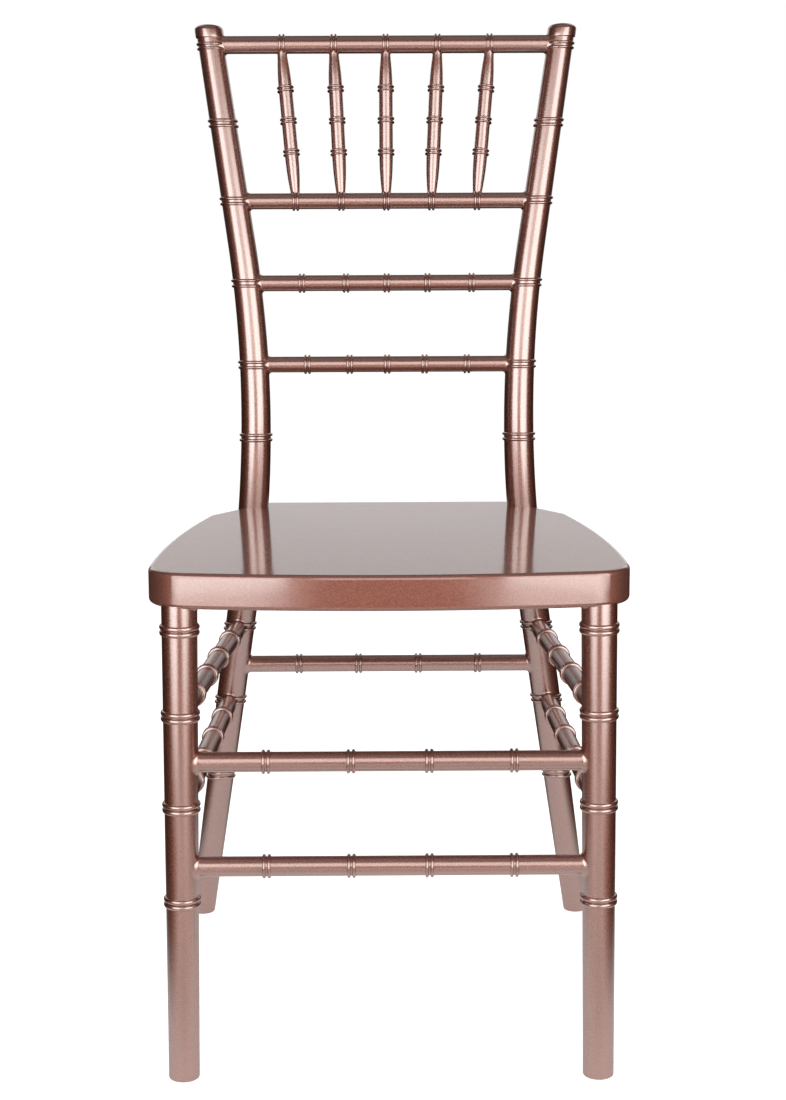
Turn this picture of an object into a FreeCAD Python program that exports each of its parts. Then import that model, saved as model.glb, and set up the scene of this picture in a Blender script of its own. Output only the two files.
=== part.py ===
import FreeCAD, Part
import Sketcher
import math
import os

# Chiavari chair with the turned bamboo look, built from separate round members that are
# glued into round blind sockets. Millimetres, Z up, origin on the floor under the middle
# of the chair, the sitter faces -Y.

os.makedirs("parts", exist_ok=True)
doc = FreeCAD.newDocument("ChiavariChair")
Vector = FreeCAD.Vector

# Driving sizes, one spreadsheet row each

SIZES = [
    ("seat_top_height", 449.1, "floor to the top of the seat"),
    ("seat_thickness", 30.5, "height of the seat's side"),
    ("seat_front_edge", 236.6, "middle of the front edge ahead of the origin"),
    ("seat_rear_overhang", 26.9, "rear edge behind the post axes at the seat"),
    ("seat_front_width", 407.2, "width at the front corners before they are rounded"),
    ("seat_front_bow", 19.0, "swelling of the front edge"),
    ("seat_side_bow", 9.2, "swelling of each side"),
    ("slant_start_lead", 52.9, "slanted rear corner starts ahead of a post axis by this"),
    ("slant_start_overhang", 37.75, "and outside it by this"),
    ("slant_end_inset", 15.25, "slanted rear corner ends inside a post axis by this"),
    ("seat_front_corner", 40.0, "corner radius at the front"),
    ("seat_side_corner", 8.0, "corner radius where the side meets the slant"),
    ("seat_rear_corner", 5.0, "corner radius where the slant meets the rear edge"),
    ("seat_edge_round", 4.0, "rounding of the top and bottom edges"),
    ("seat_skin", 6.0, "thickness of the seat above its pockets"),
    ("seat_rib", 6.0, "rib between two pockets"),
    ("pocket_front_wall", 48.6, "front edge of the seat to the first pockets"),
    ("pocket_side_wall", 70.6, "front corner of the seat to the pockets, sideways"),
    ("pocket_rear_wall", 37.8, "rearmost pockets to the rear edge"),
    ("pocket_rear_inset", 31.0, "rearmost pockets inside the ends of the rear edge"),
    ("leg_front_inset", 30.2, "front leg axis behind the front edge"),
    ("leg_side_inset", 27.4, "front leg axis inside the seat's front corner"),
    ("leg_splay", 4.1, "a front leg's foot stands outside its top by this"),
    ("leg_foot_radius", 13.4, "front leg at the floor"),
    ("leg_top_radius", 15.2, "front leg at the seat"),
    ("leg_tenon_radius", 9.0, "pin on top of a front leg"),
    ("leg_tenon_length", 16.0, "length of that pin"),
    ("foot_bevel", 1.5, "bevel round the foot of a leg"),
    ("foot_trim", 0.3, "taken off a leg to stand flat"),
    ("post_corner_half", 116.3, "where a post's two straight runs would meet, sideways"),
    ("post_corner_setback", 112.3, "the same point behind the origin"),
    ("post_corner_share", 0.2159, "height of that point, as a share of seat top to top rail"),
    ("post_plan_slope", 1.37, "run to the back for each sideways run of a post"),
    ("post_lower_lean", 0.2539, "run per height below the bend"),
    ("post_upper_lean", 0.2609, "run per height above the bend"),
    ("post_bend_radius", 644.7, "radius of the bend"),
    ("post_foot_radius", 12.0, "post at the floor"),
    ("post_knee_radius", 14.5, "post at its second band"),
    ("post_seat_radius", 15.0, "post from its knee to the first band above the seat"),
    ("post_loin_radius", 14.5, "post up to the lowest rail"),
    ("post_back_radius", 14.0, "post up to the middle rail"),
    ("post_shoulder_radius", 13.7, "post above the middle rail"),
    ("post_neck_radius", 12.8, "post under its cap"),
    ("cap_rise", 7.3, "top rail axis to the underside of the cap"),
    ("cap_lap", 1.3, "the post goes this far into its cap"),
    ("cap_radius", 13.9, "round cap on a post"),
    ("cap_side", 8.0, "height of the cap below its crown"),
    ("cap_bevel", 1.8, "bevels of the cap"),
    ("cap_crown", 4.6, "rise of the crown"),
    ("cap_crown_radius", 4.0, "flat middle of the crown"),
    ("cap_shoulder_radius", 9.5, "where the crown turns flatter"),
    ("cap_shoulder", 3.2, "height of that turn above the side"),
    ("ring_tip", 3.5, "degrees that the post rings tip back"),
    ("band_one", 160.4, "lowest band"),
    ("band_two", 244.2, "second band, lower side stretchers"),
    ("band_three", 324.3, "third band, upper side stretchers"),
    ("band_four_drop", 20.1, "seat underside to the fourth band of a front leg"),
    ("band_five_share", 0.1557, "first post band above the seat, as the same share"),
    ("low_rail_share", 0.3143, "lowest back rail and its band, as the same share"),
    ("middle_rail_share", 0.4892, "middle back rail and its band, as the same share"),
    ("spindle_rail_share", 0.6645, "rail under the spindles and its band, as the same share"),
    ("band_nine_share", 0.497, "post band beside the spindles, as a share of their height"),
    ("top_rail_height", 897.4, "top rail and its band"),
    ("rear_stretcher_height", 282.5, "stretcher between the posts"),
    ("front_upper_height", 283.2, "upper front stretcher"),
    ("front_lower_height", 190.8, "lower front stretcher"),
    ("top_rail_radius", 8.6, "top rail"),
    ("rail_radius", 7.7, "the three rails below it"),
    ("rear_stretcher_radius", 8.3, "rear stretcher"),
    ("stretcher_radius", 8.7, "front and side stretchers"),
    ("side_end_radius", 7.4, "side stretcher where it enters a post"),
    ("side_taper", 34.0, "end of the side stretcher that tapers to the post"),
    ("side_pin", 14.0, "straight end of that taper"),
    ("spindle_radius", 6.9, "spindle between its rings"),
    ("spindle_pin_radius", 4.2, "both ends of a spindle"),
    ("spindle_waist_radius", 6.0, "spindle half way down its foot"),
    ("spindle_neck", 9.0, "rail axis to the end of a spindle's pin"),
    ("spindle_taper_share", 0.26, "tapers at both ends, as a share of the spindle's rail to rail run"),
    ("spindle_waist_share", 0.13, "the same for the half way point of the foot"),
    ("spindle_ring_share", 0.31, "the same for the lowest rings"),
    ("spindle_step_share", 0.2037, "the same for the step from rings to rings"),
    ("spindle_share", 0.15, "step of the bands and spindles as a share of a rail's span"),
    ("stretcher_share", 0.2, "step of the bands as a share of a stretcher's span"),
    ("member_inset", 2.5, "rod end to the axis of the post or leg"),
    ("spindle_inset", 2.0, "spindle end to the axis of its rail"),
    ("socket_clearance", 0.1, "play of a rod in its socket, each side"),
    ("socket_run", 30.0, "length of the run that opens a socket"),
    ("ring_rise", 1.6, "a ring stands proud by this"),
    ("ring_valley", 0.4, "the notch between two rings stands proud by this"),
    ("ring_bury", 0.6, "the edges of a pair of rings lie this deep"),
    ("post_ring_bury", 1.8, "the same on a leaning post"),
    ("post_ring_pitch", 5.2, "between the two rings of a post band"),
    ("leg_ring_pitch", 4.9, "the same on a front leg"),
    ("stretcher_ring_pitch", 4.3, "the same on a stretcher"),
    ("rail_ring_pitch", 3.8, "the same on a back rail"),
    ("spindle_ring_pitch", 3.6, "the same on a spindle"),
    ("screw_radius", 2.2, "seat screw"),
    ("screw_head_radius", 4.2, "head of the seat screw"),
    ("screw_head_height", 2.8, "height of that head"),
    ("screw_bite", 18.0, "length of the screw in the post"),
    ("screw_wall", 14.0, "seat material under the head"),
    ("screw_bore_radius", 4.8, "bore that lets the head in"),
    ("screw_bore_run_in", 3.6, "the bore runs into the rear pocket by this"),
]

sheet = doc.addObject("Spreadsheet::Sheet", "Sizes")
SIZE = {}


def write_cell(alias, value, meaning):
    row = len(SIZE) + 1
    sheet.set("A%d" % row, alias.replace("_", " "))
    sheet.set("B%d" % row, repr(float(value)))
    sheet.set("C%d" % row, meaning)
    sheet.setAlias("B%d" % row, alias)
    SIZE[alias] = float(value)


for size_alias, size_value, size_meaning in SIZES:
    write_cell(size_alias, size_value, size_meaning)
doc.recompute()


def cell(alias):
    return "Sizes." + alias


# How many of each repeated feature

SPINDLES = 5
SPINDLE_BANDS = 3
RAIL_BANDS = 5
STRETCHER_BANDS = 4
FRONT_POCKET_ROWS = 3
FRONT_POCKET_COLUMNS = 4
REAR_POCKET_COLUMNS = 2


# Heights that follow the seat or the top rail

UNDERSIDE = SIZE["seat_top_height"] - SIZE["seat_thickness"]
BACK_RISE = SIZE["top_rail_height"] - SIZE["seat_top_height"]


def in_back(share):
    return SIZE["seat_top_height"] + BACK_RISE * SIZE[share]


write_cell("band_four", UNDERSIDE - SIZE["band_four_drop"], "front leg band under the seat")
write_cell("post_corner_height", in_back("post_corner_share"), "where a post's straight runs would meet")
write_cell("band_five", in_back("band_five_share"), "post band above the seat")
write_cell("low_rail_height", in_back("low_rail_share"), "lowest back rail")
write_cell("middle_rail_height", in_back("middle_rail_share"), "middle back rail")
write_cell("spindle_rail_height", in_back("spindle_rail_share"), "rail under the spindles")
SPINDLE_RISE = SIZE["top_rail_height"] - SIZE["spindle_rail_height"]
write_cell("band_nine", SIZE["spindle_rail_height"] + SPINDLE_RISE * SIZE["band_nine_share"],
           "post band beside the spindles")
write_cell("cap_base_height", SIZE["top_rail_height"] + SIZE["cap_rise"], "underside of the cap")
write_cell("post_neck_height", SIZE["cap_base_height"] + SIZE["cap_lap"], "top of the post")

# Course of the bent posts: a straight run, one arc and a straight run in an upright plane

LEFT = -1
RIGHT = 1
UP = Vector(0, 0, 1)
LOWER_LEAN = math.atan(SIZE["post_lower_lean"])
UPPER_LEAN = math.atan(SIZE["post_upper_lean"])
PLAN_TURN = math.atan(SIZE["post_plan_slope"])
BEND = SIZE["post_bend_radius"]
BEND_RUN = BEND * math.tan((LOWER_LEAN + UPPER_LEAN) / 2)
BEND_LOW = SIZE["post_corner_height"] - BEND_RUN * math.cos(LOWER_LEAN)
BEND_HIGH = SIZE["post_corner_height"] + BEND_RUN * math.cos(UPPER_LEAN)
BEND_CENTRE_REACH = BEND_RUN * math.sin(LOWER_LEAN) + BEND * math.cos(LOWER_LEAN)
BEND_CENTRE_HEIGHT = BEND_LOW + BEND * math.sin(LOWER_LEAN)


def post_reach(height):
    if height < BEND_LOW:
        return SIZE["post_lower_lean"] * (SIZE["post_corner_height"] - height)
    if height > BEND_HIGH:
        return SIZE["post_upper_lean"] * (height - SIZE["post_corner_height"])
    rise = height - BEND_CENTRE_HEIGHT
    return BEND_CENTRE_REACH - math.sqrt(BEND * BEND - rise * rise)


def post_plane_point(side, reach, height):
    x = side * (SIZE["post_corner_half"] + reach * math.cos(PLAN_TURN))
    y = SIZE["post_corner_setback"] + reach * math.sin(PLAN_TURN)
    return Vector(x, y, height)


def post_axis(side, height):
    return post_plane_point(side, post_reach(height), height)


def leg_axis(side, height):
    top = SIZE["seat_front_width"] / 2 - SIZE["leg_side_inset"]
    splay = SIZE["leg_splay"] * (1 - height / UNDERSIDE)
    setback = SIZE["seat_front_edge"] - SIZE["leg_front_inset"]
    return Vector(side * (top + splay), -setback, height)


def moved(start, towards, distance):
    return start + (towards - start).normalize() * distance


def along(start, towards):
    return FreeCAD.Placement(start, FreeCAD.Rotation(UP, towards - start))


# Turned pieces: a profile beside the Z axis, revolved in a body

def plane_of(body, role):
    for feature in body.Origin.OriginFeatures:
        if feature.Role == role:
            return feature
    raise RuntimeError("no plane " + role)


def new_sketch(body, name, role):
    sketch = body.newObject("Sketcher::SketchObject", name)
    sketch.AttachmentSupport = (plane_of(body, role), [""])
    sketch.MapMode = "FlatFace"
    return sketch


def pin_coordinate(sketch, kind, axis, line, value, expression):
    if expression == "0":
        sketch.addConstraint(Sketcher.Constraint("PointOnObject", line, 1, axis))
        return
    index = sketch.addConstraint(Sketcher.Constraint(kind, -1, 1, line, 1, value))
    sketch.setExpression("Constraints[%d]" % index, expression)


def closed_profile(sketch, corners):
    # corners are pairs of expressions, across and up, where "0" lies on the axis itself
    points = [Vector(sketch.evalExpression(across), sketch.evalExpression(up), 0)
              for across, up in corners]
    count = len(points)
    for i in range(count):
        sketch.addGeometry(Part.LineSegment(points[i], points[(i + 1) % count]), False)
    for i in range(count):
        sketch.addConstraint(Sketcher.Constraint("Coincident", i, 2, (i + 1) % count, 1))
    for i, (across, up) in enumerate(corners):
        pin_coordinate(sketch, "DistanceX", -2, i, points[i].x, across)
        pin_coordinate(sketch, "DistanceY", -1, i, points[i].y, up)


def revolve(body, name, corners):
    sketch = new_sketch(body, name + "Profile", "XZ_Plane")
    closed_profile(sketch, corners)
    turning = body.newObject("PartDesign::Revolution", name)
    turning.Profile = sketch
    turning.ReferenceAxis = (sketch, ["V_Axis"])
    turning.Angle = 360
    return turning


def band_corners(radius, height, pitch, bury="ring_bury"):
    # two rings with a notch between them
    edge = "%s - %s" % (radius, cell(bury))
    crest = "%s + Sizes.ring_rise" % radius
    low = "%s - %s" % (height, pitch)
    high = "%s + %s" % (height, pitch)
    return [
        ("0", low),
        (edge, low),
        (crest, "%s - %s / 2" % (height, pitch)),
        ("%s + Sizes.ring_valley" % radius, height),
        (crest, "%s + %s / 2" % (height, pitch)),
        (edge, high),
        ("0", high),
    ]


def ring_pattern(body, ring, step, count):
    pattern = body.newObject("PartDesign::LinearPattern", ring.Name + "Row")
    pattern.Originals = [ring]
    pattern.Direction = (ring.Profile[0], ["V_Axis"])
    pattern.Occurrences = count
    pattern.Length = SIZE[step] * (count - 1)
    pattern.setExpression("Length", "%s * %d" % (cell(step), count - 1))
    body.Tip = pattern


def new_body(label, start, towards):
    body = doc.addObject("PartDesign::Body", label)
    body.Placement = along(start, towards)
    body.Label = label
    return body


# Sockets

def socket_tool(label, bottom, towards, radius):
    tool = doc.addObject("Part::Cylinder", label)
    tool.setExpression("Radius", "%s + Sizes.socket_clearance" % cell(radius))
    tool.setExpression("Height", "Sizes.socket_run")
    tool.Placement = along(bottom, towards)
    return tool


def floor_tool(foot):
    side = 2 * SIZE["socket_run"]
    tool = doc.addObject("Part::Box", "BelowFloor")
    tool.Length = side
    tool.Width = side
    tool.Height = side
    tool.Placement.Base = Vector(foot.x - side / 2, foot.y - side / 2, -side)
    return tool


def cut_from(label, base, tools):
    tool = tools[0]
    if len(tools) > 1:
        tool = doc.addObject("Part::MultiFuse", label + "_tools")
        tool.Shapes = tools
    cut = doc.addObject("Part::Cut", label + "_cut")
    cut.Base = base
    cut.Tool = tool
    base.Label = label + "_blank"
    cut.Label = label
    return cut


def mirrored(label, source):
    copy = doc.addObject("Part::Mirroring", label)
    copy.Source = source
    copy.Normal = Vector(1, 0, 0)
    copy.Label = label
    return copy


# Straight rods between two posts or legs

class Rod:
    def __init__(self, label, start_axis, end_axis, radius, end_radius=None):
        self.label = label
        self.radius = radius
        self.end_radius = end_radius or radius
        self.start = moved(start_axis, end_axis, SIZE["member_inset"])
        self.end = moved(end_axis, start_axis, SIZE["member_inset"])
        self.span = (end_axis - start_axis).Length
        self.length = label + "_length"
        write_cell(self.length, (self.end - self.start).Length, "end to end")

    def profile(self):
        full = cell(self.radius)
        end = cell(self.length)
        corners = [("0", "0"), (full, "0")]
        if self.end_radius == self.radius:
            corners.append((full, end))
        else:
            slim = cell(self.end_radius)
            corners.append((full, "%s - Sizes.side_taper" % end))
            corners.append((slim, "%s - Sizes.side_pin" % end))
            corners.append((slim, end))
        corners.append(("0", end))
        return corners

    def banded(self, pitch, share, count):
        step = self.label + "_step"
        first = self.label + "_first"
        write_cell(step, self.span * SIZE[share], "from band to band")
        reach = self.span / 2 - SIZE["member_inset"] - SIZE[step] * (count - 1) / 2
        write_cell(first, reach, "rod end to the first band")
        doc.recompute()
        body = new_body(self.label, self.start, self.end)
        revolve(body, self.label + "Rod", self.profile())
        corners = band_corners(cell(self.radius), cell(first), cell(pitch))
        ring = revolve(body, self.label + "Ring", corners)
        ring_pattern(body, ring, step, count)
        return body

    def start_socket(self):
        return socket_tool(self.label + "_start_socket", self.start, self.end, self.radius)

    def end_socket(self):
        return socket_tool(self.label + "_end_socket", self.end, self.start, self.end_radius)


def rail(label, height, radius):
    level = SIZE[height]
    return Rod(label, post_axis(LEFT, level), post_axis(RIGHT, level), radius)


def front_stretcher(label, height):
    level = SIZE[height]
    return Rod(label, leg_axis(LEFT, level), leg_axis(RIGHT, level), "stretcher_radius")


def side_stretcher(label, height):
    level = SIZE[height]
    return Rod(label, leg_axis(LEFT, level), post_axis(LEFT, level), "stretcher_radius",
               "side_end_radius")


# Spindles

class Spindle:
    def __init__(self, number):
        self.label = "spindle_%d" % number
        place = (number - (SPINDLES + 1) / 2) * SIZE["spindle_share"]
        low = self.station(SIZE["spindle_rail_height"], place)
        high = self.station(SIZE["top_rail_height"], place)
        self.span = (high - low).Length
        self.start = moved(low, high, SIZE["spindle_inset"])
        self.end = moved(high, low, SIZE["spindle_inset"])
        self.length = self.label + "_length"
        write_cell(self.length, (self.end - self.start).Length, "end to end")

    def station(self, height, place):
        left = post_axis(LEFT, height)
        right = post_axis(RIGHT, height)
        return (left + right) / 2 + (right - left) * place

    def share(self, name):
        alias = "%s_%s" % (self.label, name)
        write_cell(alias, self.span * SIZE["spindle_%s_share" % name], "from the rail axis")
        return alias

    def build(self):
        body = new_body(self.label, self.start, self.end)
        end = cell(self.length)
        pin = "Sizes.spindle_pin_radius"
        full = "Sizes.spindle_radius"
        from_axis = " - Sizes.spindle_inset"
        taper = self.share("taper")
        waist = self.share("waist")
        first_ring = self.share("ring")
        step = self.share("step")
        doc.recompute()
        revolve(body, self.label + "Turning", [
            ("0", "0"),
            (pin, "0"),
            (pin, "Sizes.spindle_neck" + from_axis),
            ("Sizes.spindle_waist_radius", cell(waist) + from_axis),
            (full, cell(taper) + from_axis),
            (full, "%s + Sizes.spindle_inset - %s" % (end, cell(taper))),
            (pin, "%s + Sizes.spindle_inset - Sizes.spindle_neck" % end),
            (pin, end),
            ("0", end),
        ])
        corners = band_corners(full, cell(first_ring) + from_axis, "Sizes.spindle_ring_pitch")
        ring = revolve(body, self.label + "Ring", corners)
        ring_pattern(body, ring, step, SPINDLE_BANDS)
        return body

    def low_socket(self):
        return socket_tool(self.label + "_low_socket", self.start, self.end, "spindle_pin_radius")

    def high_socket(self):
        return socket_tool(self.label + "_high_socket", self.end, self.start, "spindle_pin_radius")


# Front legs

def front_leg(rods):
    foot = leg_axis(LEFT, -SIZE["foot_trim"])
    top = leg_axis(LEFT, UNDERSIDE)
    body = new_body("left_front_leg", foot, top)
    write_cell("leg_length", (top - foot).Length, "foot to the seat along the leg")
    doc.recompute()
    revolve(body, "LegTurning", [
        ("0", "0"),
        ("Sizes.leg_foot_radius - Sizes.foot_bevel", "0"),
        ("Sizes.leg_foot_radius", "Sizes.foot_bevel"),
        ("Sizes.leg_top_radius", "Sizes.leg_length"),
        ("Sizes.leg_tenon_radius", "Sizes.leg_length"),
        ("Sizes.leg_tenon_radius", "Sizes.leg_length + Sizes.leg_tenon_length"),
        ("0", "Sizes.leg_length + Sizes.leg_tenon_length"),
    ])
    taper = "(Sizes.leg_top_radius - Sizes.leg_foot_radius) / Sizes.leg_length"
    for band in ("band_one", "band_two", "band_three", "band_four"):
        radius = "Sizes.leg_foot_radius + %s * %s" % (taper, cell(band))
        revolve(body, "Leg" + band, band_corners(radius, cell(band), "Sizes.leg_ring_pitch"))
    return cut_from("left_front_leg", body, [rod.start_socket() for rod in rods] + [floor_tool(foot)])


# Back posts

def post_cone(number, low, high, low_radius, high_radius):
    start = post_axis(LEFT, low)
    end = post_axis(LEFT, high)
    cone = doc.addObject("Part::Cone", "PostRun%d" % number)
    cone.setExpression("Radius1", cell(low_radius))
    cone.setExpression("Radius2", cell(high_radius))
    cone.Height = (end - start).Length
    cone.Placement = along(start, end)
    return cone


def bend_frame(height):
    centre = post_plane_point(LEFT, BEND_CENTRE_REACH, BEND_CENTRE_HEIGHT)
    outward = (post_axis(LEFT, height) - centre).normalize()
    plan = post_plane_point(LEFT, 1, 0) - post_plane_point(LEFT, 0, 0)
    normal = plan.cross(UP).normalize()
    upward = normal.cross(outward)
    if upward.z < 0:
        normal = normal * -1
        upward = upward * -1
    matrix = FreeCAD.Matrix(
        outward.x, upward.x, normal.x, centre.x,
        outward.y, upward.y, normal.y, centre.y,
        outward.z, upward.z, normal.z, centre.z,
        0, 0, 0, 1)
    return FreeCAD.Placement(matrix)


def bend_angle(low, high):
    rise_low = (low - BEND_CENTRE_HEIGHT) / BEND
    rise_high = (high - BEND_CENTRE_HEIGHT) / BEND
    return math.degrees(math.asin(rise_high) - math.asin(rise_low))


def bend_piece(name, low, high, radius):
    piece = doc.addObject("Part::Torus", name)
    piece.setExpression("Radius1", "Sizes.post_bend_radius")
    piece.setExpression("Radius2", radius)
    piece.Angle1 = -180
    piece.Angle2 = 180
    piece.Angle3 = bend_angle(low, high)
    piece.Placement = bend_frame(low)
    return piece


def post_ring(number, height, radius):
    tip = math.radians(SIZE["ring_tip"])
    centre = post_axis(LEFT, height)
    lower = centre - Vector(0, math.sin(tip), math.cos(tip)) * SIZE["post_ring_pitch"]
    body = new_body("PostBand%d" % number, lower, centre)
    pitch = "Sizes.post_ring_pitch"
    revolve(body, "PostRing%d" % number, band_corners(radius, pitch, pitch, "post_ring_bury"))
    return body


def post_cap():
    tip = math.radians(SIZE["ring_tip"])
    base = post_axis(LEFT, SIZE["cap_base_height"])
    body = new_body("PostCap", base, base + Vector(0, math.sin(tip), math.cos(tip)))
    revolve(body, "CapTurning", [
        ("0", "0"),
        ("Sizes.cap_radius - Sizes.cap_bevel", "0"),
        ("Sizes.cap_radius", "Sizes.cap_bevel"),
        ("Sizes.cap_radius", "Sizes.cap_side - Sizes.cap_bevel"),
        ("Sizes.cap_radius - Sizes.cap_bevel", "Sizes.cap_side"),
        ("Sizes.cap_shoulder_radius", "Sizes.cap_side + Sizes.cap_shoulder"),
        ("Sizes.cap_crown_radius", "Sizes.cap_side + Sizes.cap_crown"),
        ("0", "Sizes.cap_side + Sizes.cap_crown"),
    ])
    return body


def post_runs():
    below = -SIZE["post_foot_radius"]
    return [
        post_cone(1, below, SIZE["band_two"], "post_foot_radius", "post_knee_radius"),
        post_cone(2, SIZE["band_two"], BEND_LOW, "post_knee_radius", "post_seat_radius"),
        post_cone(3, BEND_HIGH, SIZE["post_neck_height"], "post_shoulder_radius", "post_neck_radius"),
        bend_piece("PostBend1", BEND_LOW, SIZE["band_five"], "Sizes.post_seat_radius"),
        bend_piece("PostBend2", SIZE["band_five"], SIZE["low_rail_height"], "Sizes.post_loin_radius"),
        bend_piece("PostBend3", SIZE["low_rail_height"], SIZE["middle_rail_height"],
                   "Sizes.post_back_radius"),
        bend_piece("PostBend4", SIZE["middle_rail_height"], BEND_HIGH, "Sizes.post_shoulder_radius"),
    ]


def between(low, high, share):
    return "(%s + (%s - %s) * %s)" % (cell(low), cell(high), cell(low), share)


def post_bands():
    foot_share = "(Sizes.band_one / Sizes.band_two)"
    knee_share = "((Sizes.band_three - Sizes.band_two) / (%r - Sizes.band_two))" % BEND_LOW
    upper_run = "(Sizes.post_neck_height - %r)" % BEND_HIGH
    bands = [
        ("band_one", between("post_foot_radius", "post_knee_radius", foot_share)),
        ("band_two", "Sizes.post_knee_radius"),
        ("band_three", between("post_knee_radius", "post_seat_radius", knee_share)),
        ("band_five", between("post_seat_radius", "post_loin_radius", "0.5")),
        ("low_rail_height", between("post_loin_radius", "post_back_radius", "0.5")),
        ("middle_rail_height", between("post_back_radius", "post_shoulder_radius", "0.5")),
    ]
    for height in ("spindle_rail_height", "band_nine", "top_rail_height"):
        share = "((%s - %r) / %s)" % (cell(height), BEND_HIGH, upper_run)
        bands.append((height, between("post_shoulder_radius", "post_neck_radius", share)))
    return [post_ring(i + 1, SIZE[height], radius) for i, (height, radius) in enumerate(bands)]


def back_post(sockets):
    blank = doc.addObject("Part::MultiFuse", "post_blank")
    blank.Shapes = post_runs() + post_bands() + [post_cap()]
    return cut_from("left_back_post", blank, sockets + [floor_tool(post_axis(LEFT, 0))])


# Seat

def seat_posts(side):
    return post_axis(side, UNDERSIDE + SIZE["seat_thickness"] / 2)


def seat_rear():
    return seat_posts(RIGHT).y + SIZE["seat_rear_overhang"]


def slant_start(side):
    post = seat_posts(side)
    return Vector(post.x + side * SIZE["slant_start_overhang"], post.y - SIZE["slant_start_lead"], 0)


def slant_end(side):
    return Vector(seat_posts(side).x - side * SIZE["slant_end_inset"], seat_rear(), 0)


def seat_outline(body):
    sketch = new_sketch(body, "SeatOutline", "XY_Plane")
    half_front = SIZE["seat_front_width"] / 2
    front_y = SIZE["seat_front_bow"] - SIZE["seat_front_edge"]
    corner = [Vector(-half_front, front_y, 0), Vector(half_front, front_y, 0),
              slant_start(RIGHT), slant_end(RIGHT), slant_end(LEFT), slant_start(LEFT)]
    bows = [SIZE["seat_front_bow"], SIZE["seat_side_bow"], 0, 0, 0, SIZE["seat_side_bow"]]
    for i, bow in enumerate(bows):
        start = corner[i]
        end = corner[(i + 1) % len(corner)]
        if bow:
            chord = end - start
            outward = Vector(chord.y, -chord.x, 0).normalize()
            sketch.addGeometry(Part.Arc(start, (start + end) / 2 + outward * bow, end), False)
        else:
            sketch.addGeometry(Part.LineSegment(start, end), False)
    return sketch


def pocket_length():
    rows = FRONT_POCKET_ROWS + 1
    depth = SIZE["seat_front_edge"] + seat_rear() - SIZE["pocket_front_wall"] - SIZE["pocket_rear_wall"]
    return (depth - (rows - 1) * SIZE["seat_rib"]) / rows


def pocket_width(half_width, columns):
    return (2 * half_width - (columns - 1) * SIZE["seat_rib"]) / columns


def rear_pocket_corner():
    across = slant_end(RIGHT).x - SIZE["pocket_rear_inset"]
    return Vector(across, seat_rear() - SIZE["pocket_rear_wall"], 0)


def pocket_row(body, name, front, half_width, rows, columns):
    sketch = new_sketch(body, name + "Outline", "XY_Plane")
    width = pocket_width(half_width, columns)
    for row in range(rows):
        low = front + row * (pocket_length() + SIZE["seat_rib"])
        high = low + pocket_length()
        ends = [Vector(-half_width, low, 0), Vector(width - half_width, low, 0),
                Vector(width - half_width, high, 0), Vector(-half_width, high, 0)]
        for i in range(4):
            sketch.addGeometry(Part.LineSegment(ends[i], ends[(i + 1) % 4]), False)
    pocket = body.newObject("PartDesign::Pocket", name)
    pocket.Profile = sketch
    pocket.Reversed = True
    pocket.setExpression("Length", "Sizes.seat_thickness - Sizes.seat_skin")
    pattern = body.newObject("PartDesign::LinearPattern", name + "Row")
    pattern.Originals = [pocket]
    pattern.Direction = (sketch, ["H_Axis"])
    pattern.Occurrences = columns
    pattern.Length = (width + SIZE["seat_rib"]) * (columns - 1)
    body.Tip = pattern


def edges_where(shape, test):
    return ["Edge%d" % (i + 1) for i, edge in enumerate(shape.Edges) if test(edge)]


def is_upright(edge):
    return len(edge.Vertexes) == 2 and abs(edge.tangentAt(edge.FirstParameter).z) > 0.99


def round_corners(body, base, name, radius, test):
    doc.recompute()
    fillet = body.newObject("PartDesign::Fillet", name)
    fillet.Base = (base, edges_where(base.Shape, test))
    fillet.setExpression("Radius", cell(radius))
    return fillet


def seat_board():
    body = doc.addObject("PartDesign::Body", "seat_board")
    body.Placement.Base = Vector(0, 0, UNDERSIDE)
    pad = body.newObject("PartDesign::Pad", "SeatPad")
    pad.Profile = seat_outline(body)
    pad.setExpression("Length", "Sizes.seat_thickness")
    front = round_corners(body, pad, "FrontCorners", "seat_front_corner",
                          lambda e: is_upright(e) and e.CenterOfMass.y < 0)
    side = round_corners(body, front, "SideCorners", "seat_side_corner",
                         lambda e: is_upright(e) and 0 < e.CenterOfMass.y < slant_start(RIGHT).y + 1)
    rear = round_corners(body, side, "RearCorners", "seat_rear_corner",
                         lambda e: is_upright(e) and e.CenterOfMass.y > seat_rear() - 1)
    round_corners(body, rear, "SeatEdges", "seat_edge_round",
                  lambda e: e.BoundBox.ZLength < 0.01)
    front_row = SIZE["pocket_front_wall"] - SIZE["seat_front_edge"]
    rear_row = front_row + FRONT_POCKET_ROWS * (pocket_length() + SIZE["seat_rib"])
    half_width = SIZE["seat_front_width"] / 2 - SIZE["pocket_side_wall"]
    pocket_row(body, "SeatPockets", front_row, half_width, FRONT_POCKET_ROWS, FRONT_POCKET_COLUMNS)
    pocket_row(body, "RearPockets", rear_row, rear_pocket_corner().x, 1, REAR_POCKET_COLUMNS)
    return body


def screw_line(side):
    slant = slant_end(side) - slant_start(side)
    outward = Vector(side * slant.y, side * -slant.x, 0).normalize()
    return seat_posts(side), outward


def cylinder(name, start, towards, radius, length):
    tool = doc.addObject("Part::Cylinder", name)
    tool.setExpression("Radius", radius)
    tool.Height = length
    tool.Placement = along(start, towards)
    return tool


def screw_reach():
    return SIZE["post_seat_radius"] + SIZE["screw_wall"]


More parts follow.
